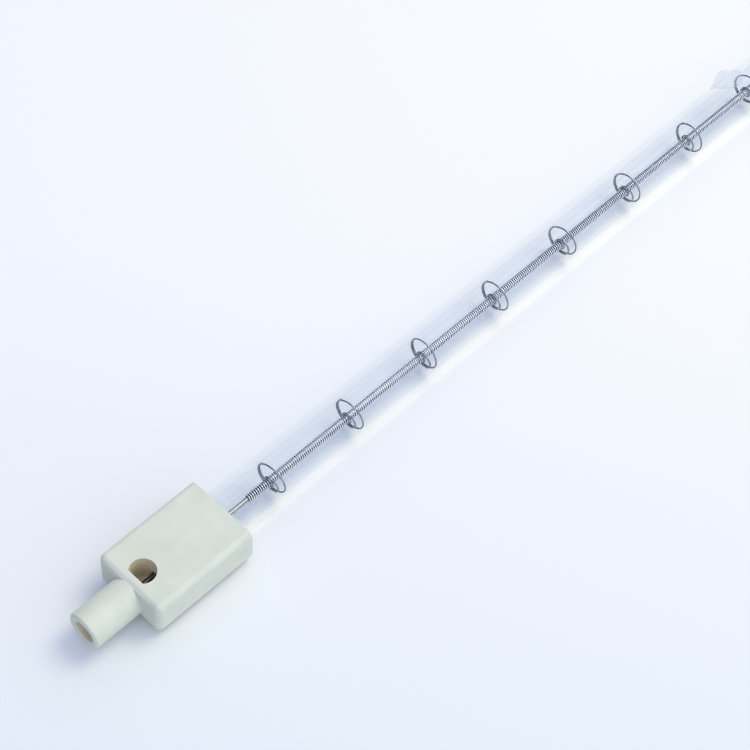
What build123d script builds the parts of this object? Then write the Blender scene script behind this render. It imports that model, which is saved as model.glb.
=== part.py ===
from build123d import *
import os

# An infrared heating tube: a coiled tungsten filament, held on spiral wire supports inside
# a clear quartz tube that is pressed flat and sealed at both ends, with a ceramic base
# cemented over each seal. Lengths are in millimetres. X runs along the tube, Z is up,
# and the tube lies on the plane Z = 0 with its middle at X = 0.

# Quartz envelope
tube_od = 10.0
tube_bore = 7.4
base_gap = 278.5
seal_width = 11.6
seal_thickness = 3.4
seal_edge_radius = 1.2
seal_depth = 13.5
wing_length = 2.0
wing_radius = 2.2
jaw_radius = 5.4
jaw_bite = 0.15
jaw_setback = 0.6
hollow_setback = 1.0

# Exhaust tip, where the tube was pumped out and melted shut, a little past the middle
tip_offset = 4.4
tip_height = 1.9
tip_flare_radius = 2.6
tip_neck_radius = 1.3
tip_end_radius = 0.6
tip_end_height = 0.6
tip_root_depth = 0.9
tip_hole_dia = 1.2
tip_wall = 0.8
tip_lean = 42.0

# Ceramic base
base_width = 15.1
base_thickness = 7.8
base_length = 21.6
base_edge_radius = 1.2
nose_od = 7.2
nose_length = 9.9
nose_rim_chamfer = 0.35
nose_bore = 4.2
bore_rim_chamfer = 0.25
window_radius = 2.45
window_flat = 1.6
window_setback = 3.5
cement_gap = 0.4
cement_recess = 0.5
slot_floor_gap = 0.5
lead_hole_clearance = 0.25

# Filament and the pieces that carry it
coil_od = 1.7
coil_wire = 0.35
coil_setback = 5.9
support_count = 14
end_support_setback = 12.5
support_wire = 0.3
support_wire_sides = 3
support_ring_od = 6.5
support_ring_gap = 80.0
support_grip_arc = 120.0
support_grip_clearance = 0.04
support_turn = 30.0
ring_rest_clearance = 0.05

# Leads and sealing foils
lead_clearance = 0.05
lead_in_coil = 4.0
inner_lead_end = 3.5
foil_width = 3.4
foil_length = 9.5
foil_thickness = 0.06
foil_setback = 1.0
outer_lead_dia = 1.1
outer_lead_start = 8.0
outer_lead_end_gap = 0.4

# Places worked out from the sizes above. At an end of the lamp, X = 0 is the mouth face of
# the base and +X points to the middle of the tube.
half_turn = 180.0
full_turn = 2 * half_turn
half_gap = base_gap / 2
axis_height = max(tube_od, base_thickness) / 2
wall = (tube_od - tube_bore) / 2
jaw_height = seal_thickness / 2 - jaw_bite + jaw_radius
slot_depth = seal_depth + slot_floor_gap
window_x = window_setback - base_length
window_floor = -nose_bore / 2
coil_bore = coil_od - 2 * coil_wire
coil_z = support_ring_od / 2 + ring_rest_clearance - tube_bore / 2
inner_lead_dia = coil_bore - 2 * lead_clearance
foil_z = coil_z + inner_lead_dia / 2
outer_lead_z = foil_z - outer_lead_dia / 2
outer_lead_end = window_x - window_flat + outer_lead_end_gap

lamp = Pos(0, 0, axis_height)
ends = {
    "left": Pos(-half_gap, 0, 0),
    "right": Pos(half_gap, 0, 0) * Rot(0, 0, half_turn),
}


def rod(diameter, x_start, x_end, z=0.0):
    """A round bar along X."""
    middle = (x_start + x_end) / 2
    return Pos(middle, 0, z) * Rot(0, 90, 0) * Cylinder(diameter / 2, x_end - x_start)


def flat_bar(width, thickness, edge_radius, x_start, x_end):
    """A bar along X with a rounded rectangle as its section."""
    section = Plane.YZ * RectangleRounded(width, thickness, edge_radius)
    return Pos(x_start, 0, 0) * extrude(section, x_end - x_start)


def seal_blade():
    """The flat press seal, with the front corners of its wings rounded in plan."""
    blade = flat_bar(seal_width, seal_thickness, seal_edge_radius, -seal_depth, wing_length)
    plan = Pos(wing_length - seal_depth, 0) * RectangleRounded(2 * seal_depth, seal_width, wing_radius)
    return blade & extrude(plan, seal_thickness, both=True)


def jaw_pair(radius):
    """The two round jaws that press the hot tube flat, as cutters across it."""
    jaw = Rot(90, 0, 0) * Cylinder(radius, 2 * tube_od)
    return [Pos(-jaw_setback, 0, side * jaw_height) * jaw for side in (-1, 1)]


def exhaust_tip():
    """The melted nipple on the tube's wall, and the hole that is left below it."""
    surface = tube_od / 2
    root = surface - tip_root_depth
    top = surface + tip_height
    neck = top - tip_end_height
    flare = Pos(0, 0, (root + neck) / 2) * Cone(tip_flare_radius, tip_neck_radius, neck - root)
    end_cap = Pos(0, 0, (neck + top) / 2) * Cone(tip_neck_radius, tip_end_radius, tip_end_height)
    hole = Pos(0, 0, (top - tip_wall) / 2) * Cylinder(tip_hole_dia / 2, top - tip_wall)
    place = Pos(tip_offset, 0, 0) * Rot(-tip_lean, 0, 0)
    return place * (flare + end_cap), place * hole


def quartz_envelope():
    """Tube, two press seals and exhaust tip, blown and pressed from one piece of quartz."""
    nipple, nipple_hole = exhaust_tip()
    glass = rod(tube_od, -half_gap, half_gap)
    hollow = rod(tube_bore, hollow_setback - half_gap, half_gap - hollow_setback)
    for end in ends.values():
        for jaw in jaw_pair(jaw_radius):
            glass -= end * jaw
        for jaw in jaw_pair(jaw_radius + wall):
            hollow -= end * jaw
        glass += end * seal_blade()
    glass += nipple
    glass -= hollow
    glass -= nipple_hole
    for end in ends.values():
        for metal in (inner_lead(), sealing_foil(), outer_lead()):
            glass -= end * metal
    return glass


def inner_lead():
    """The rod that the coil is screwed onto, welded to the foil inside the seal."""
    return rod(inner_lead_dia, -inner_lead_end, coil_setback + lead_in_coil, coil_z)


def sealing_foil():
    """The thin metal foil that carries the current through the glass."""
    middle = -foil_setback - foil_length / 2
    return Pos(middle, 0, foil_z + foil_thickness / 2) * Box(foil_length, foil_width, foil_thickness)


def outer_lead():
    """The rod that leaves the seal and ends in the base's window, ready for a cable."""
    return rod(outer_lead_dia, outer_lead_end, -outer_lead_start, outer_lead_z)


def seal_slot(x_start, x_end):
    """The space in the base that takes the press seal with its bed of cement."""
    width = seal_width + 2 * cement_gap
    thickness = seal_thickness + 2 * cement_gap
    return Pos((x_start + x_end) / 2, 0, 0) * Box(x_end - x_start, width, thickness)


def ceramic_base():
    """Pressed ceramic block with a cable nose, a D-shaped window and the slot for the seal."""
    block = Pos(-base_length / 2, 0, 0) * Box(base_length, base_width, base_thickness)
    nose_end = block.faces().sort_by(Axis.X)[0]
    block = fillet(block.edges().filter_by(Axis.X) + nose_end.edges(), base_edge_radius)
    nose_tip = -base_length - nose_length
    nose = rod(nose_od, nose_tip, window_x)
    nose = chamfer(nose.faces().sort_by(Axis.X)[0].edges(), nose_rim_chamfer)
    bore = rod(nose_bore, nose_tip, window_x)
    bore += Pos(nose_tip + bore_rim_chamfer / 2, 0, 0) * Rot(0, 90, 0) * Cone(
        nose_bore / 2 + bore_rim_chamfer, nose_bore / 2, bore_rim_chamfer
    )
    d_shape = Circle(window_radius) & Pos((window_radius - window_flat) / 2, 0) * Rectangle(
        window_radius + window_flat, 2 * window_radius
    )
    window = Pos(window_x, 0, window_floor) * extrude(d_shape, base_thickness)
    lead_hole = rod(outer_lead_dia + 2 * lead_hole_clearance, window_x, 0, outer_lead_z)
    return block + nose - bore - window - lead_hole - seal_slot(-slot_depth, 0)


def base_cement():
    """The fired cement that fills the slot around the press seal."""
    return seal_slot(-slot_depth, -cement_recess) - seal_blade() - outer_lead()


def filament():
    """The tungsten coil as a sleeve of its true outer and inner diameter."""
    start = coil_setback - half_gap
    return rod(coil_od, start, -start, coil_z) - rod(coil_bore, start, -start, coil_z)


def filament_support():
    """One wire: an arc that grips the coil, a half turn out, and an open ring that meets the bore."""
    grip_radius = coil_od / 2 + support_grip_clearance + support_wire / 2
    ring_radius = support_ring_od / 2 - support_wire / 2
    reach_radius = (grip_radius + ring_radius) / 2

    def wire_arc(radius, arc):
        section = Plane.XZ * Pos(radius, 0) * RegularPolygon(support_wire / 2, support_wire_sides)
        return revolve(section, Axis.Z, arc)

    grip = Rot(0, 0, -support_grip_arc) * wire_arc(grip_radius, support_grip_arc)
    reach = Pos(grip_radius - reach_radius, 0, 0) * wire_arc(reach_radius, half_turn)
    ring = Rot(0, 0, half_turn) * wire_arc(ring_radius, full_turn - support_ring_gap)
    return Rot(-support_turn, 0, 0) * Rot(0, -90, 0) * (grip + reach + ring)


nodes = {"quartz_envelope": quartz_envelope(), "filament": filament()}
support_pitch = (base_gap - 2 * end_support_setback) / (support_count - 1)
support = filament_support()
for index in range(support_count):
    support_x = end_support_setback - half_gap + index * support_pitch
    nodes[f"filament_support_{index + 1:02d}"] = Pos(support_x, 0, coil_z) * support
for side, end in ends.items():
    nodes[f"inner_lead_{side}"] = end * inner_lead()
    nodes[f"sealing_foil_{side}"] = end * sealing_foil()
    nodes[f"outer_lead_{side}"] = end * outer_lead()
    nodes[f"base_cement_{side}"] = end * base_cement()
    nodes[f"ceramic_base_{side}"] = end * ceramic_base()

os.makedirs("parts", exist_ok=True)
for name, shape in nodes.items():
    export_step(lamp * shape, f"parts/{name}.step")
print(f"{len(nodes)} nodes, {base_gap + 2 * (base_length + nose_length):.1f} mm long over the noses")
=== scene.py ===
# %% [markdown]
# # An infrared heating tube
# The lamp is a clear quartz tube, pressed flat at both ends, with a coiled tungsten wire along its
# middle and a cream ceramic base cemented over each end. Fourteen small wire spirals keep the coil
# off the glass. The CAD frame holds the sizes and places. This lesson gives every piece its finish,
# and remakes the ones that a plain solid can't show: the blown glass, the coil and its supports.

# %% Load the frame
import math

import bmesh
import bpy
from mathutils import Matrix, Vector


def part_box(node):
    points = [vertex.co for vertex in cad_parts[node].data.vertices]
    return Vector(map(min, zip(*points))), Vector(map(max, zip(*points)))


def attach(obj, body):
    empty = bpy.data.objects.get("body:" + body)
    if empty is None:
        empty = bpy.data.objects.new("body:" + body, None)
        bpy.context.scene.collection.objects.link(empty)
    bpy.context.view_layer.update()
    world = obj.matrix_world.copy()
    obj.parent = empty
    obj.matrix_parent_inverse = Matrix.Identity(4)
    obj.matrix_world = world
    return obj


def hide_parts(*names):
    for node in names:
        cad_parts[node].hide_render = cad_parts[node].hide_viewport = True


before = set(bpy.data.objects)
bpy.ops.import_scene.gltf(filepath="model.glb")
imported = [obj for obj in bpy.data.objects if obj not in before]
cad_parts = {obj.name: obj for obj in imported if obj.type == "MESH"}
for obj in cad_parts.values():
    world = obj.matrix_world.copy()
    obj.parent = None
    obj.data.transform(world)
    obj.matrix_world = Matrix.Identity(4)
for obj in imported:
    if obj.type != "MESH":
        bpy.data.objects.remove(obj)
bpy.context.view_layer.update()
MM = 0.001
BODY = "root"
base_low, base_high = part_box("ceramic_base_left")
coil_low, coil_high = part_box("filament")
axis_z = (base_low.z + base_high.z) / 2
coil_z = (coil_low.z + coil_high.z) / 2
print("nodes in the frame:", len(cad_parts))

# %% [markdown]
# ## The camera
# The photograph looks down on the left base, so the tube runs away to the upper right and leaves
# the picture. The camera's place and its axes were found by matching the corners of the base and
# the spacing of the supports. A camera looks along its own -Z, so the columns of its matrix are
# right, up and backwards.

# %% Camera
CAMERA_PLACE = Vector((-256.6, -132.6, 295.6)) * MM
CAMERA_VIEW = Vector((0.4425, 0.3790, -0.8127)).normalized()
CAMERA_UP = Vector((0.5648, 0.5862, 0.5809))
FOCAL_LENGTH = 94.0
SENSOR_WIDTH = 36.0
CLIP_NEAR = 0.01
CLIP_FAR = 20.0

scene = bpy.context.scene
camera_data = bpy.data.cameras.new("photo_camera")
camera_data.lens = FOCAL_LENGTH
camera_data.sensor_width = SENSOR_WIDTH
camera_data.clip_start = CLIP_NEAR
camera_data.clip_end = CLIP_FAR
camera = bpy.data.objects.new("photo_camera", camera_data)
right = CAMERA_VIEW.cross(CAMERA_UP).normalized()
up = right.cross(CAMERA_VIEW)
axes = Matrix((right, up, -CAMERA_VIEW)).transposed()
camera.matrix_world = Matrix.Translation(CAMERA_PLACE) @ axes.to_4x4()
scene.collection.objects.link(camera)
scene.camera = camera
scene.view_settings.view_transform = "Standard"
print("camera height:", round(CAMERA_PLACE.z / MM), "mm")

# %% [markdown]
# ## Light paths
# A ray that looks through the tube crosses several walls of glass before it reaches the floor, so
# the limits on bounces go up, and stray bright dots are clamped. The renderer could also stop early in
# smooth areas and filter the denoiser's guides, but that smears the fine turns of the coil. So both are
# off, and a pixel filter a little narrower than usual keeps the turns apart.

# %% Light paths
MOST_BOUNCES = 40
MOST_GLOSSY_BOUNCES = 24
MOST_CLEAR_WALLS = 32
BRIGHTEST_DIRECT = 2.5
BRIGHTEST_INDIRECT = 1.0
PIXEL_FILTER = 1.3

cycles = scene.cycles
cycles.max_bounces = MOST_BOUNCES
cycles.transmission_bounces = MOST_BOUNCES
cycles.glossy_bounces = MOST_GLOSSY_BOUNCES
cycles.transparent_max_bounces = MOST_CLEAR_WALLS
cycles.sample_clamp_direct = BRIGHTEST_DIRECT
cycles.sample_clamp_indirect = BRIGHTEST_INDIRECT
cycles.use_adaptive_sampling = False
cycles.denoising_prefilter = "NONE"
cycles.filter_width = PIXEL_FILTER
print("bounces at most:", cycles.max_bounces)

# %% [markdown]
# ## Shader helpers
# A finish below is a Principled shader fed by a few procedural textures. These helpers only save
# typing: they add a node and set its inputs by name, mix two colours, do sums on values, and start
# a material. The textures read Object coordinates, which are metres in the frame.

# %% Nodes and materials
def set_input(tree, socket, value):
    """Sets an input of a node, or links it when the value is another node's socket."""
    if isinstance(value, bpy.types.NodeSocket):
        tree.links.new(value, socket)
    else:
        socket.default_value = value


def add_node(tree, kind, **inputs):
    """A new shader node with its inputs set by name, where _ stands for a blank."""
    node = tree.nodes.new(kind)
    for name, value in inputs.items():
        set_input(tree, node.inputs[name.replace("_", " ")], value)
    return node


def mix_colours(tree, factor, first, second):
    """A colour between two others."""
    mix = tree.nodes.new("ShaderNodeMix")
    mix.data_type = "RGBA"
    sockets = {socket.identifier: socket for socket in mix.inputs}
    set_input(tree, sockets["Factor_Float"], factor)
    set_input(tree, sockets["A_Color"], first)
    set_input(tree, sockets["B_Color"], second)
    return next(socket for socket in mix.outputs if socket.identifier == "Result_Color")


def principled_material(name, **inputs):
    """A material with one Principled shader, and the tree to add textures to."""
    material = bpy.data.materials.new(name)
    material.use_nodes = True
    tree = material.node_tree
    shader = tree.nodes["Principled BSDF"]
    for key, value in inputs.items():
        set_input(tree, shader.inputs[key.replace("_", " ")], value)
    return material, tree, shader


# %% Textures and sums
NOISE_LOW = 0.3
NOISE_HIGH = 0.7


def noise(tree, scale, stretch=(1.0, 1.0, 1.0), detail=3.0):
    """Noise in object space, with scale in features per metre."""
    place = add_node(tree, "ShaderNodeTexCoord")
    mapping = add_node(tree, "ShaderNodeMapping", Vector=place.outputs["Object"], Scale=stretch)
    spot = mapping.outputs["Vector"]
    cloud = add_node(tree, "ShaderNodeTexNoise", Vector=spot, Scale=scale, Detail=detail)
    return cloud.outputs["Fac"]


def ramp(tree, value, start, end, low=0.0, high=1.0):
    """Is low up to the start and high from the end on, where the end may be the lower value."""
    rise = add_node(
        tree, "ShaderNodeMapRange", Value=value, From_Min=start, From_Max=end, To_Min=low, To_Max=high
    )
    return rise.outputs["Result"]


def spread(tree, value, low=0.0, high=1.0):
    """Maps the middle of a noise to a range of values."""
    return ramp(tree, value, NOISE_LOW, NOISE_HIGH, low, high)


def bump(tree, shader, height, strength, depth):
    """Small relief of the given depth in metres."""
    relief = add_node(tree, "ShaderNodeBump", Height=height, Strength=strength, Distance=depth)
    set_input(tree, shader.inputs["Normal"], relief.outputs["Normal"])


def calculate(tree, operation, first, second=0.0):
    """One step of arithmetic on values in a shader."""
    step = tree.nodes.new("ShaderNodeMath")
    step.operation = operation
    set_input(tree, step.inputs[0], first)
    set_input(tree, step.inputs[1], second)
    return step.outputs["Value"]


def axes_of(tree, kind):
    """The X, Y and Z of a texture coordinate, such as Object or Normal."""
    place = add_node(tree, "ShaderNodeTexCoord")
    return add_node(tree, "ShaderNodeSeparateXYZ", Vector=place.outputs[kind]).outputs


def diagonal(tree, first, second):
    """The distance that two lengths at right angles make."""
    squares = [calculate(tree, "MULTIPLY", length, length) for length in (first, second)]
    return calculate(tree, "SQRT", calculate(tree, "ADD", *squares))


# %% [markdown]
# ## The floor
# The lamp lies on white paper, so a wide plane with a matte material does. Towards minus X and minus Y the
# paper gets a painted shade, a little darker and bluer where the light falls off, which a slow change
# between two tones gives.

# %% Floor
FLOOR_SIZE = 6.0
FLOOR_COLOUR = (0.862, 0.858, 0.854, 1.0)
FLOOR_NEAR_SHADE = (0.775, 0.808, 0.819, 1.0)
FLOOR_FADE_START = -45 * MM
FLOOR_FADE_END = -200 * MM


def paper_finish():
    material, tree, shader = principled_material("white_paper", Roughness=0.9, Specular_IOR_Level=0.0)
    place = axes_of(tree, "Object")
    # Painted shade: darker and bluer towards minus X and minus Y.
    nearness = ramp(tree, calculate(tree, "ADD", place["X"], place["Y"]), FLOOR_FADE_START, FLOOR_FADE_END)
    set_input(tree, shader.inputs["Base Color"], mix_colours(tree, nearness, FLOOR_COLOUR, FLOOR_NEAR_SHADE))
    return material


floor_mesh = bmesh.new()
bmesh.ops.create_grid(floor_mesh, x_segments=1, y_segments=1, size=FLOOR_SIZE / 2)
floor_data = bpy.data.meshes.new("paper_floor")
floor_mesh.to_mesh(floor_data)
floor_mesh.free()
floor = bpy.data.objects.new("paper_floor", floor_data)
scene.collection.objects.link(floor)
floor_data.materials.append(paper_finish())
print("floor:", FLOOR_SIZE, "m wide")

# %% [markdown]
# ## The light
# A softbox hangs nearly overhead, a little to the right and to the front. It draws the shadows under
# the base and the coil. It is left out of what is seen through glass, where its image would sparkle.
# The sky gives the rest of the light: bright and slightly blue from the front right, and falling off
# to a dim room on the far side, because bright metal and glass only show their edges when their
# surroundings aren't all the same white.

# %% Softbox
KEY_FROM = Vector((0.36, -0.17, 0.91)).normalized()
KEY_DISTANCE = 0.75
KEY_SIZE = 0.4
KEY_POWER = 2.3
KEY_COLOUR = (1.0, 0.95, 0.58)

key_data = bpy.data.lights.new("key_softbox", "AREA")
key_data.shape = "SQUARE"
key_data.size = KEY_SIZE
key_data.energy = KEY_POWER
key_data.color = KEY_COLOUR
key = bpy.data.objects.new("key_softbox", key_data)
key.location = KEY_DISTANCE * KEY_FROM
key.rotation_euler = KEY_FROM.to_track_quat("Z", "Y").to_euler()
key.visible_transmission = False
scene.collection.objects.link(key)
print("lamps:", len(bpy.data.lights))

# %% Sky
SKY_FROM = Vector((0.9, -0.9, 0.38)).normalized()
SKY_LIGHT = 1.0
SKY_BRIGHT = (0.955, 1.02, 1.25, 1.0)
SKY_DIM = (0.17, 0.20, 0.36, 1.0)
SKY_FALL_START = 0.5
SKY_FALL_END = -0.9

world = bpy.data.worlds.new("studio")
scene.world = world
world.use_nodes = True
sky = world.node_tree
direction = add_node(sky, "ShaderNodeTexCoord")
facing = sky.nodes.new("ShaderNodeVectorMath")
facing.operation = "DOT_PRODUCT"
set_input(sky, facing.inputs[0], direction.outputs["Generated"])
facing.inputs[1].default_value = SKY_FROM
falloff = add_node(
    sky, "ShaderNodeMapRange", Value=facing.outputs["Value"], From_Min=SKY_FALL_END, From_Max=SKY_FALL_START
)
falloff.interpolation_type = "SMOOTHSTEP"
backdrop = sky.nodes["Background"]
set_input(sky, backdrop.inputs["Color"], mix_colours(sky, falloff.outputs["Result"], SKY_DIM, SKY_BRIGHT))
backdrop.inputs["Strength"].default_value = SKY_LIGHT
print("sky falls off from", SKY_FALL_START, "to", SKY_FALL_END)

# %% [markdown]
# ## Quartz
# Quartz is clear with a faint blue cast. A pure glass shader bends every ray, and in a thin tube that gave
# black and speckled patches. So nearly all light goes straight through a Transparent shader here, and a
# small share takes the glass shader. What straight light would miss comes back as tints. Fine lines run
# along the tube, as drawing leaves them. The pressed shoulders, where the surface slopes along the tube,
# get a darker painted shade that stands in for the light the sloping glass would bend away. Shadow rays are
# dimmed a little, but on the front side, where a real tube gathers light into a bright band on the floor,
# their tint is over 1, up to the rim. The melted tip is a thin, cloudy shell.

# %% Quartz
QUARTZ_TINT = (0.962, 0.981, 1.0, 1.0)
QUARTZ_IOR = 1.458
QUARTZ_STRAIGHT = 0.985
QUARTZ_CLEAR = (0.997, 0.999, 1.0, 1.0)
QUARTZ_LINE = (0.95, 0.964, 0.981, 1.0)
LINE_SCALE = 1300.0
LINE_STRETCH = (0.004, 1.0, 1.0)
QUARTZ_SLOPE_SHADE = (0.942, 0.958, 0.975, 1.0)
SLOPE_SHADE_START = 0.2
SLOPE_SHADE_END = 0.8
QUARTZ_SHADOW = (0.935, 0.952, 0.976, 1.0)
QUARTZ_GATHER = (1.25, 1.22, 1.17, 1.0)
GATHER_START = -1.4 * MM
GATHER_END = -3.0 * MM
RIM_START = -3.7 * MM
RIM_END = -4.7 * MM
TIP_TINT = (0.56, 0.63, 0.71, 1.0)
TIP_TINT_PALE = (0.70, 0.76, 0.83, 1.0)
TIP_OPACITY = 0.18
TIP_CLOUD_SCALE = 420.0


def seen_tint(tree):
    """What one wall does to the light that is seen through it."""
    lines = spread(tree, noise(tree, LINE_SCALE, LINE_STRETCH, detail=4.0))
    drawn = mix_colours(tree, lines, QUARTZ_CLEAR, QUARTZ_LINE)
    slope = calculate(tree, "ABSOLUTE", axes_of(tree, "Normal")["X"])
    # Painted shade where the glass slopes along the tube.
    return mix_colours(tree, ramp(tree, slope, SLOPE_SHADE_START, SLOPE_SHADE_END), drawn, QUARTZ_SLOPE_SHADE)


def shadow_tint(tree):
    """What one wall does to the light that falls through it."""
    across = axes_of(tree, "Object")["Y"]
    aside = ramp(tree, across, GATHER_START, GATHER_END)
    gathered = mix_colours(tree, aside, QUARTZ_SHADOW, QUARTZ_GATHER)
    return mix_colours(tree, ramp(tree, across, RIM_START, RIM_END), gathered, QUARTZ_SHADOW)


def quartz_finish():
    material, tree, shader = principled_material(
        "clear_quartz", Base_Color=QUARTZ_TINT, Roughness=0.0, IOR=QUARTZ_IOR, Transmission_Weight=1.0
    )
    casts_shadow = add_node(tree, "ShaderNodeLightPath").outputs["Is Shadow Ray"]
    tint = mix_colours(tree, casts_shadow, seen_tint(tree), shadow_tint(tree))
    clear = add_node(tree, "ShaderNodeBsdfTransparent", Color=tint)
    mix = tree.nodes.new("ShaderNodeMixShader")
    set_input(tree, mix.inputs[0], calculate(tree, "MAXIMUM", casts_shadow, QUARTZ_STRAIGHT))
    set_input(tree, mix.inputs[1], shader.outputs["BSDF"])
    set_input(tree, mix.inputs[2], clear.outputs["BSDF"])
    set_input(tree, tree.nodes["Material Output"].inputs["Surface"], mix.outputs["Shader"])
    return material


def thin_quartz_finish():
    material, tree, shader = principled_material("thin_quartz", Alpha=TIP_OPACITY, Roughness=0.1)
    clouds = spread(tree, noise(tree, TIP_CLOUD_SCALE))
    set_input(tree, shader.inputs["Base Color"], mix_colours(tree, clouds, TIP_TINT, TIP_TINT_PALE))
    return material


quartz = quartz_finish()
thin_quartz = thin_quartz_finish()
print("glass:", quartz.name, "and", thin_quartz.name)

# %% [markdown]
# ## Ceramic and cement
# The base is pressed from powder and fired: matte ivory, slightly mottled, with a dry grain. Inside its
# window and its cable bore it gets a warm tan, which is painted bounce light: the tone that light takes on
# as it bounces round inside them. Both hollows are round, so the distance from their axes says where the
# tint is, with no painting by hand. The cement is a rough off-white.

# %% Ceramic
IVORY = (0.622, 0.655, 0.538, 1.0)
IVORY_PALE = (0.671, 0.702, 0.593, 1.0)
MOTTLE_SCALE = 260.0
CERAMIC_SMOOTH = 0.46
CERAMIC_ROUGH = 0.62
CERAMIC_PATCH_SCALE = 700.0
CERAMIC_GRAIN_SCALE = 5200.0
CERAMIC_GRAIN_STRENGTH = 0.25
CERAMIC_GRAIN_DEPTH = 0.02 * MM
HOLLOW_BOUNCE_TINT = (0.75, 0.67, 0.47, 1.0)
BOUNCE_TINT_FADE = 0.3 * MM
WINDOW_SETBACK = 18.1 * MM
WINDOW_RADIUS = 2.5 * MM
NOSE_BORE_RADIUS = 2.15 * MM


def hollow_bounce_mask(tree):
    """Is 1 inside the window and the cable bore of both bases, and 0 on their outsides."""
    place = axes_of(tree, "Object")
    out = calculate(tree, "ABSOLUTE", place["X"])
    from_window = calculate(tree, "ADD", out, base_high.x - WINDOW_SETBACK)
    from_axis = calculate(tree, "SUBTRACT", place["Z"], axis_z)
    window_radius = diagonal(tree, from_window, place["Y"])
    bore_radius = diagonal(tree, from_axis, place["Y"])
    in_window = ramp(tree, window_radius, WINDOW_RADIUS + BOUNCE_TINT_FADE, WINDOW_RADIUS)
    under_top = ramp(tree, place["Z"], base_high.z, base_high.z - BOUNCE_TINT_FADE)
    in_bore = ramp(tree, bore_radius, NOSE_BORE_RADIUS + BOUNCE_TINT_FADE, NOSE_BORE_RADIUS)
    behind_rim = ramp(tree, out, -base_low.x, -base_low.x - BOUNCE_TINT_FADE)
    window = calculate(tree, "MULTIPLY", in_window, under_top)
    bore = calculate(tree, "MULTIPLY", in_bore, behind_rim)
    return calculate(tree, "MAXIMUM", window, bore)


def ceramic_finish():
    material, tree, shader = principled_material("ivory_ceramic", Specular_IOR_Level=0.35)
    mottle = spread(tree, noise(tree, MOTTLE_SCALE, detail=4.0))
    clean = mix_colours(tree, mottle, IVORY, IVORY_PALE)
    patches = noise(tree, CERAMIC_PATCH_SCALE)
    grain = noise(tree, CERAMIC_GRAIN_SCALE, detail=5.0)
    # Painted bounce light: a warm tan inside the window and the cable bore.
    set_input(tree, shader.inputs["Base Color"], mix_colours(tree, hollow_bounce_mask(tree), clean, HOLLOW_BOUNCE_TINT))
    set_input(tree, shader.inputs["Roughness"], spread(tree, patches, CERAMIC_SMOOTH, CERAMIC_ROUGH))
    bump(tree, shader, grain, CERAMIC_GRAIN_STRENGTH, CERAMIC_GRAIN_DEPTH)
    return material


ceramic = ceramic_finish()
print("ceramic:", ceramic.name)

# %% Cement
CEMENT_PALE = (0.72, 0.70, 0.64, 1.0)
CEMENT_DARK = (0.52, 0.50, 0.45, 1.0)
CRUMB_COLOUR_SCALE = 1800.0
CRUMB_SCALE = 2600.0
CRUMB_STRENGTH = 0.6
CRUMB_DEPTH = 0.08 * MM


def cement_finish():
    material, tree, shader = principled_material("fired_cement", Roughness=0.9, Specular_IOR_Level=0.2)
    crumbs = spread(tree, noise(tree, CRUMB_COLOUR_SCALE, detail=6.0))
    set_input(tree, shader.inputs["Base Color"], mix_colours(tree, crumbs, CEMENT_DARK, CEMENT_PALE))
    bump(tree, shader, noise(tree, CRUMB_SCALE, detail=6.0), CRUMB_STRENGTH, CRUMB_DEPTH)
    return material


cement = cement_finish()
print("cement:", cement.name)

# %% [markdown]
# ## Metals
# The coil and the supports are bare drawn wire, the coil's bright and the supports' dark grey. Deep between
# its turns the real coil looks nearly black, since little light gets in. Turns of so few faces show too
# little of that, so the wire also gets a painted shade that is darker towards the coil's axis. The inner
# lead rods are a plain grey metal, and the outer ones have oxidised.

# %% Metals
TUNGSTEN_DARK = (0.72, 0.77, 0.80, 1.0)
TUNGSTEN_PALE = (0.91, 0.95, 0.97, 1.0)
GROOVE_SHADE = (0.07, 0.078, 0.085, 1.0)
GROOVE_RADIUS = 0.68 * MM
CREST_RADIUS = 0.79 * MM
SUPPORT_DARK = (0.19, 0.205, 0.23, 1.0)
SUPPORT_PALE = (0.42, 0.44, 0.48, 1.0)
LEAD_DARK = (0.31, 0.32, 0.32, 1.0)
LEAD_PALE = (0.43, 0.44, 0.43, 1.0)
OXIDE_DARK = (0.05, 0.05, 0.045, 1.0)
OXIDE_PALE = (0.15, 0.145, 0.13, 1.0)


def wire_finish(name, dark, pale, grain, smooth, rough, groove_shade=None):
    """Bare metal with patches of two tones, and painted shade in the grooves if it is the coil's."""
    material, tree, shader = principled_material(name, Metallic=1.0)
    patches = spread(tree, noise(tree, grain, detail=4.0))
    colour = mix_colours(tree, patches, dark, pale)
    if groove_shade:
        place = axes_of(tree, "Object")
        radius = diagonal(tree, calculate(tree, "SUBTRACT", place["Z"], coil_z), place["Y"])
        # Painted shade: darker towards the coil's axis, deep between the turns.
        colour = mix_colours(tree, ramp(tree, radius, GROOVE_RADIUS, CREST_RADIUS), groove_shade, colour)
    set_input(tree, shader.inputs["Base Color"], colour)
    set_input(tree, shader.inputs["Roughness"], spread(tree, noise(tree, 2 * grain), smooth, rough))
    return material


tungsten = wire_finish(
    "drawn_tungsten", TUNGSTEN_DARK, TUNGSTEN_PALE, grain=900.0, smooth=0.28, rough=0.33, groove_shade=GROOVE_SHADE
)
support_wire = wire_finish(
    "support_spring_wire", SUPPORT_DARK, SUPPORT_PALE, grain=1400.0, smooth=0.29, rough=0.36
)
molybdenum = wire_finish("lead_rod_metal", LEAD_DARK, LEAD_PALE, grain=1100.0, smooth=0.29, rough=0.40)
oxidised = wire_finish("oxidised_lead_rod", OXIDE_DARK, OXIDE_PALE, grain=1100.0, smooth=0.28, rough=0.42)
print("finishes:", len(bpy.data.materials))

# %% [markdown]
# ## Placing a piece
# A piece is finished when its mesh is in the scene, has its material, hides the CAD node that it stands for
# and rides on the frame's one body. Rigid pieces whose CAD shape is right are a welded copy of that shape:
# the CAD mesh is loose triangles, so welding it lets the rounded faces shade smoothly, and edges sharper
# than a set angle stay crisp.

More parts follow.
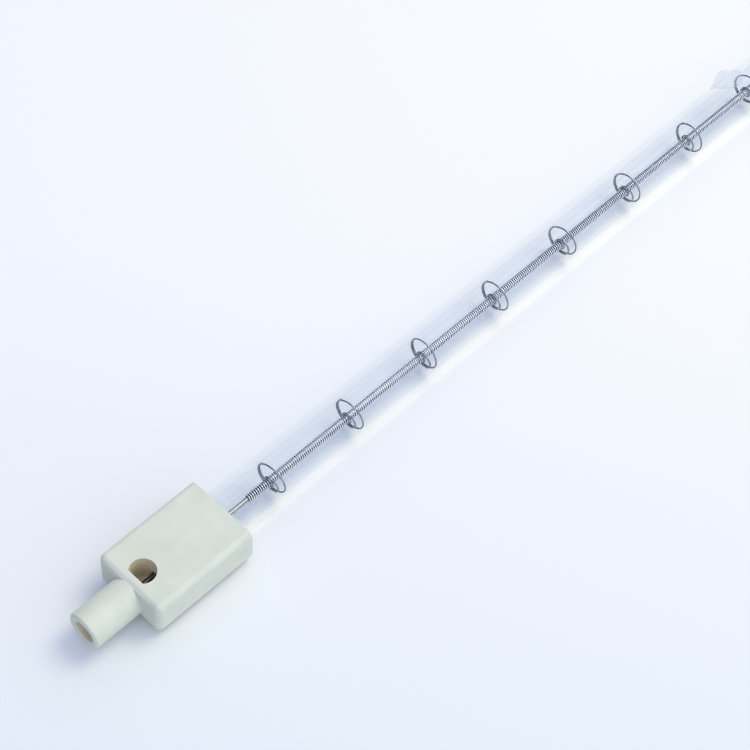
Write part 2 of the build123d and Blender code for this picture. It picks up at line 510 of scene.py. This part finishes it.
# %% Placing helpers
WELD_DISTANCE = 1e-6
CRISP_ANGLE = math.radians(50.0)


def add_piece(name, bm, material, slot, *nodes):
    """Puts a finished bmesh into the scene as a piece that stands for its CAD nodes."""
    mesh = bpy.data.meshes.new(name)
    bm.to_mesh(mesh)
    bm.free()
    mesh.shade_smooth()
    mesh.materials.append(material)
    piece = bpy.data.objects.new(name, mesh)
    scene.collection.objects.link(piece)
    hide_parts(*nodes)
    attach(piece, BODY)
    return piece


def welded_copy(node):
    """A bmesh of a CAD node with its triangles joined and its crisp edges marked."""
    bm = bmesh.new()
    bm.from_mesh(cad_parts[node].data)
    bmesh.ops.remove_doubles(bm, verts=bm.verts, dist=WELD_DISTANCE)
    for edge in bm.edges:
        edge.smooth = edge.calc_face_angle(0.0) < CRISP_ANGLE
    return bm


def add_welded(name, node, material, slot):
    """A welded copy of a CAD node as a finished piece, with flat faces kept flat."""
    piece = add_piece(name, welded_copy(node), material, slot, node)
    even = piece.modifiers.new("even_normals", "WEIGHTED_NORMAL")
    even.keep_sharp = True
    return piece


# %% [markdown]
# ## Ceramic bases, cement and leads
# Each end has the same set: a pressed base with a nose for the cable, cement round the seal,
# a lead rod on each side of the seal and a thin foil between them. Their CAD shapes are right as they
# are, so welded copies do.

# %% Ends of the lamp
for side in ("left", "right"):
    add_welded(f"base_{side}", f"ceramic_base_{side}", ceramic, "ceramic")
    add_welded(f"cement_{side}", f"base_cement_{side}", cement, "cement")
    add_welded(f"lead_{side}", f"inner_lead_{side}", molybdenum, "molybdenum")
    add_welded(f"cable_lead_{side}", f"outer_lead_{side}", oxidised, "molybdenum")
    add_welded(f"foil_{side}", f"sealing_foil_{side}", molybdenum, "molybdenum")

# %% [markdown]
# ## The quartz envelope
# On the real lamp the tube's ends were heated and pressed flat between jaws, which pushes the glass
# out into two wings. Cutting a cylinder with booleans would leave hard edges there. A row of loops across
# the tube gives the soft form: round along the middle, wide and flat at the seal. A formula says how
# far each loop reaches at each angle, and bridging the loops makes the skin.

# %% Sizes of the envelope
envelope_low, envelope_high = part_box("quartz_envelope")
mouth_x = -base_high.x
tube_radius = axis_z - envelope_low.z
seal_half_width = (envelope_high.y - envelope_low.y) / 2
seal_depth = envelope_high.x - mouth_x
WALL = 1.3 * MM
SEAL_HALF_HEIGHT = 1.7 * MM
SEAL_SQUARENESS = 5.0
SEAL_ROUNDING = 0.3 * MM
WING_LENGTH = 2.0 * MM
WING_RADIUS = 2.2 * MM
JAW_RADIUS = 5.4 * MM
JAW_SETBACK = 0.6 * MM
JAW_BITE = 0.15 * MM
jaw_height = SEAL_HALF_HEIGHT - JAW_BITE + JAW_RADIUS
CREASE_SHARPNESS = 18.0
HOLLOW_START = 1.0 * MM
CEMENT_DEPTH = 0.5 * MM
print("seal:", round(seal_depth / MM, 1), "mm deep,", round(2 * seal_half_width / MM, 1), "mm wide")


# %% Form of the glass
def pressed_round(depth, angle, radius, jaw_radius):
    """Reach of a round section after two round jaws have pressed it from above and below."""
    pressed = jaw_height - math.sqrt(max(jaw_radius ** 2 - (depth + JAW_SETBACK) ** 2, 0.0))
    flat = abs(math.sin(angle)) / pressed
    return (radius ** -CREASE_SHARPNESS + flat ** CREASE_SHARPNESS) ** (-1 / CREASE_SHARPNESS)


def seal_blade(depth, angle):
    """Reach of the flat seal, whose wings round off towards the tube."""
    rounding = min(max(depth - WING_LENGTH + WING_RADIUS, 0.0), WING_RADIUS)
    half_width = seal_half_width - WING_RADIUS + math.sqrt(WING_RADIUS ** 2 - rounding ** 2)
    across = abs(math.cos(angle)) / half_width
    upward = abs(math.sin(angle)) / SEAL_HALF_HEIGHT
    return (across ** SEAL_SQUARENESS + upward ** SEAL_SQUARENESS) ** (-1 / SEAL_SQUARENESS)


def outer_reach(depth, angle):
    """Distance from the axis to the outside of the glass, a depth inwards from the base's mouth."""
    if depth > WING_LENGTH:
        return pressed_round(depth, angle, tube_radius, JAW_RADIUS)
    if depth < -JAW_SETBACK:
        return seal_blade(depth, angle)
    return max(seal_blade(depth, angle), pressed_round(depth, angle, tube_radius, JAW_RADIUS))


def inner_reach(depth, angle):
    """The same for the hollow."""
    return pressed_round(depth, angle, tube_radius - WALL, JAW_RADIUS + WALL)


# %% Loops and skins
SHOULDER_LENGTH = 6.5 * MM
SHOULDER_STEP = 0.2 * MM
GLASS_SEGMENTS = 160


def section_loop(bm, x, reach, depth, trim=0.0):
    """One closed loop across the tube."""
    verts = bmesh.ops.create_circle(bm, segments=GLASS_SEGMENTS, radius=1.0)["verts"]
    for vert in verts:
        angle = math.atan2(vert.co.y, vert.co.x)
        length = reach(depth, angle) - trim
        vert.co = (x, length * math.cos(angle), axis_z + length * math.sin(angle))
    return list({edge for vert in verts for edge in vert.link_edges})


def row_of_loops(bm, reach, first):
    """Loops from one end to the other, close together over the two shoulders."""
    steps = math.ceil((SHOULDER_LENGTH - first) / SHOULDER_STEP)
    depths = [first + (SHOULDER_LENGTH - first) * step / steps for step in range(steps + 1)]
    left = [section_loop(bm, depth - mouth_x, reach, depth) for depth in depths]
    return left + [section_loop(bm, mouth_x - depth, reach, depth) for depth in reversed(depths)]


def skin(bm, loops):
    """Bridges a row of loops into a closed skin with a face over each end."""
    for first, second in zip(loops, loops[1:]):
        bmesh.ops.bridge_loops(bm, edges=first + second)
    for loop in (loops[0], loops[-1]):
        bmesh.ops.edgeloop_fill(bm, edges=loop)
    bmesh.ops.recalc_face_normals(bm, faces=bm.faces)


# %% [markdown]
# One skin runs from the end of one seal to the end of the other. Its two ends, which are embedded in the
# bases, get the cement's look, and so does a face across each end of the part that shows, since cement
# is what shows through clear glass there. The hollow is a skin too. It is made in a bmesh of its own, so
# that it can be turned to face inwards after its normals are worked out.

# %% Envelope
EMBEDDED_SLOT = 1


def hollow_skin():
    """A mesh of the tube's hollow, with faces that look into it."""
    bm = bmesh.new()
    skin(bm, row_of_loops(bm, inner_reach, HOLLOW_START))
    bmesh.ops.reverse_faces(bm, faces=bm.faces)
    mesh = bpy.data.meshes.new("inner_skin")
    bm.to_mesh(mesh)
    bm.free()
    return mesh


def quartz_envelope():
    bm = bmesh.new()
    left_end, right_end = (
        [
            section_loop(bm, side * (seal_depth + mouth_x), outer_reach, -seal_depth, SEAL_ROUNDING),
            section_loop(bm, side * (seal_depth + mouth_x - SEAL_ROUNDING), outer_reach, -seal_depth),
        ]
        for side in (-1, 1)
    )
    seen = row_of_loops(bm, outer_reach, -CEMENT_DEPTH)
    skin(bm, left_end + seen + right_end[::-1])
    for face in bm.faces:
        if abs(face.calc_center_median().x) > mouth_x + CEMENT_DEPTH:
            face.material_index = EMBEDDED_SLOT
    for loop in (seen[0], seen[-1]):
        bmesh.ops.edgeloop_fill(bm, edges=loop, mat_nr=EMBEDDED_SLOT)
    inner = hollow_skin()
    bm.from_mesh(inner)
    bpy.data.meshes.remove(inner)
    return bm


envelope = add_piece("envelope", quartz_envelope(), quartz, "quartz", "quartz_envelope")
envelope.data.materials.append(cement)
print("envelope faces:", len(envelope.data.polygons))

# %% [markdown]
# The exhaust tip is the scar where the tube was pumped out: the glass was melted shut there and left
# a soft lump on the wall. Its profile is spun round, made a little uneven, and draped over the tube.

# %% Exhaust tip
TIP_PLACE = 4.4 * MM
TIP_LEAN = math.radians(42.0)
TIP_HEIGHT = 1.9 * MM
TIP_CROWN = 0.3 * MM
TIP_FOOT = 3.8 * MM
TIP_SINK = 0.3 * MM
TIP_OVAL = 0.08
TIP_OVAL_TURN = 1.0
TIP_THREE_SIDED = 0.04
TIP_RINGS = 14
TIP_SPOKES = 48


def ease(value, low, high):
    """Rises smoothly from 0 at low to 1 at high."""
    share = min(max((value - low) / (high - low), 0.0), 1.0)
    return share * share * (3 - 2 * share)


def exhaust_tip():
    bm = bmesh.new()
    radii = [TIP_FOOT * ring / TIP_RINGS for ring in range(TIP_RINGS + 1)]
    profile = [(radius, TIP_HEIGHT * (1 - ease(radius, TIP_CROWN, TIP_FOOT))) for radius in radii]
    profile.append((0.0, -TIP_SINK))
    verts = [bm.verts.new((radius, 0, height)) for radius, height in profile]
    edges = [bm.edges.new(pair) for pair in zip(verts, verts[1:])]
    bmesh.ops.spin(
        bm,
        geom=verts + edges,
        cent=(0, 0, 0),
        axis=(0, 0, 1),
        angle=math.tau,
        steps=TIP_SPOKES,
        use_merge=True,
    )
    bmesh.ops.remove_doubles(bm, verts=bm.verts, dist=WELD_DISTANCE)
    for vert in bm.verts:
        bearing = math.atan2(vert.co.y, vert.co.x)
        oval = TIP_OVAL * math.sin(2 * bearing + TIP_OVAL_TURN)
        uneven = 1 + oval + TIP_THREE_SIDED * math.sin(3 * bearing)
        vert.co.x *= uneven
        vert.co.y *= uneven
        vert.co.z += math.sqrt(tube_radius ** 2 - vert.co.y ** 2)
    place = Matrix.Translation((TIP_PLACE, 0, axis_z)) @ Matrix.Rotation(-TIP_LEAN, 4, "X")
    bmesh.ops.transform(bm, matrix=place, verts=bm.verts)
    bmesh.ops.recalc_face_normals(bm, faces=bm.faces)
    return bm


tip = add_piece("exhaust_tip", exhaust_tip(), thin_quartz, "quartz", "quartz_envelope")
print("tip faces:", len(tip.data.polygons))

# %% [markdown]
# ## The tungsten coil
# The coil is one drawn wire wound some six hundred times. Spinning a small circle once round the axis,
# while it moves along by one pitch, makes a single turn. Winding all the turns in one spin would work too.
# Here one turn is copied, so that all are exactly alike: twelve in a row, then seven such rows, then
# seven of those, and the joints are welded.

# %% Winding helpers
def spoke_to(angle):
    """The direction across the tube at an angle, measured from the front upwards."""
    return Vector((0, -math.cos(angle), math.sin(angle)))


def wire_section(bm, centre, angle, radius, thickness, sides):
    """A small circle square to the winding direction, at an angle and radius round the axis."""
    spoke = spoke_to(angle)
    along = Vector((1, 0, 0))
    turn = Matrix((spoke, along, spoke.cross(along))).transposed().to_4x4()
    place = Matrix.Translation(centre + radius * spoke) @ turn
    circle = bmesh.ops.create_circle(bm, segments=sides, radius=thickness, matrix=place)
    return list({edge for vert in circle["verts"] for edge in vert.link_edges})


def wind(bm, edges, centre, angle, advance, steps):
    """Spins a section round the lamp's axis while it moves along, and gives its last edges."""
    spun = bmesh.ops.spin(
        bm,
        geom=edges,
        cent=centre,
        axis=(-1, 0, 0),
        dvec=(advance / steps, 0, 0),
        angle=angle,
        steps=steps,
        use_merge=False,
    )
    return [part for part in spun["geom_last"] if isinstance(part, bmesh.types.BMEdge)]


def close_ends(bm):
    """Welds the joints of a wire and closes its two cut ends."""
    bmesh.ops.remove_doubles(bm, verts=bm.verts, dist=WELD_DISTANCE)
    bmesh.ops.holes_fill(bm, edges=[edge for edge in bm.edges if edge.is_boundary], sides=0)
    bmesh.ops.recalc_face_normals(bm, faces=bm.faces)


# %% Coil
WIRE_RADIUS = 0.13 * MM
WIRE_SIDES = 6
COIL_STEPS = 12
COIL_START = math.radians(-25.0)
COPY_ROUNDS = (12, 7, 7)
coil_centre = Vector((0, 0, coil_z))
coil_radius = (coil_high.z - coil_low.z) / 2 - WIRE_RADIUS
coil_turns = math.prod(COPY_ROUNDS)
coil_pitch = (coil_high.x - coil_low.x - 2 * WIRE_RADIUS) / coil_turns


def tungsten_coil():
    bm = bmesh.new()
    start = coil_centre + Vector((coil_low.x + WIRE_RADIUS, 0, 0))
    section = wire_section(bm, start, COIL_START, coil_radius, WIRE_RADIUS, WIRE_SIDES)
    wind(bm, section, start, math.tau, coil_pitch, COIL_STEPS)
    length = coil_pitch
    for copies in COPY_ROUNDS:
        block = list(bm.verts) + list(bm.edges) + list(bm.faces)
        for copy in range(1, copies):
            made = bmesh.ops.duplicate(bm, geom=block)["geom"]
            verts = [part for part in made if isinstance(part, bmesh.types.BMVert)]
            bmesh.ops.translate(bm, verts=verts, vec=(copy * length, 0, 0))
        length *= copies
    close_ends(bm)
    return bm


coil = add_piece("coil", tungsten_coil(), tungsten, "tungsten", "filament")
print("coil turns:", coil_turns, "pitch mm:", round(coil_pitch / MM, 3), "faces:", len(coil.data.polygons))

# %% [markdown]
# ## The supports
# Each support is one thin wire: one and a quarter tight turns that grip the coil, a half turn that swings
# out, and a wide ring of about one and a third turns that meets the glass. Three spins in a row
# make it, each one carrying on from the last section. Mirroring it from front to back gives the
# way that the real wire is wound. Bent wire is never twice the same, so every support is turned and
# leans a little differently, by a formula that always gives the same result.

# %% Supports
SUPPORT_COUNT = 14
SUPPORT_SHIFT = -0.6 * MM
SUPPORT_WIRE = 0.165 * MM
SUPPORT_SIDES = 8
GRIP_RADIUS = 1.02 * MM
GRIP_TURNS = 1.25
GRIP_PITCH = 0.32 * MM
GRIP_STEPS = 48
REACH_ADVANCE = 0.40 * MM
REACH_STEPS = 16
RING_RADIUS = 3.2 * MM
RING_RISE = 0.4 * MM
RING_ADVANCE = 0.44 * MM
RING_ARC = math.radians(485.0)
RING_STEPS = 84
RING_START = math.radians(-92.0)
START_SWING = math.radians(10.0)
START_BEAT = 2.4
LEAN_SWING = math.radians(3.0)
LEAN_BEAT = 1.7
LEAN_OFFSET = 1.0
FRONT_TO_BACK = (1, -1, 1)


def support_spiral(centre, ring_start, lean):
    bm = bmesh.new()
    reach_radius = (GRIP_RADIUS + RING_RADIUS - RING_RISE) / 2
    reach_start = ring_start - math.pi
    grip_arc = GRIP_TURNS * math.tau
    grip_advance = GRIP_TURNS * GRIP_PITCH
    start = centre - Vector((RING_ADVANCE / 2 + REACH_ADVANCE + grip_advance, 0, 0))
    edges = wire_section(bm, start, reach_start - grip_arc, GRIP_RADIUS, SUPPORT_WIRE, SUPPORT_SIDES)
    edges = wind(bm, edges, start, grip_arc, grip_advance, GRIP_STEPS)
    reach_centre = centre + (GRIP_RADIUS - reach_radius) * spoke_to(reach_start)
    edges = wind(bm, edges, reach_centre, math.pi, REACH_ADVANCE, REACH_STEPS)
    ring_centre = centre - RING_RISE * spoke_to(ring_start)
    wind(bm, edges, ring_centre, RING_ARC, RING_ADVANCE, RING_STEPS)
    bmesh.ops.scale(bm, vec=FRONT_TO_BACK, verts=bm.verts)
    close_ends(bm)
    bmesh.ops.rotate(bm, verts=bm.verts, cent=centre, matrix=Matrix.Rotation(lean, 3, "Z"))
    return bm


for index in range(SUPPORT_COUNT):
    node = f"filament_support_{index + 1:02d}"
    low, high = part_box(node)
    centre = coil_centre + Vector(((low.x + high.x) / 2 + SUPPORT_SHIFT, 0, 0))
    ring_start = RING_START + START_SWING * math.sin(START_BEAT * index)
    lean = LEAN_SWING * math.sin(LEAN_BEAT * index + LEAN_OFFSET)
    spiral = support_spiral(centre, ring_start, lean)
    add_piece(f"support_{index + 1:02d}", spiral, support_wire, "support_wire", node)
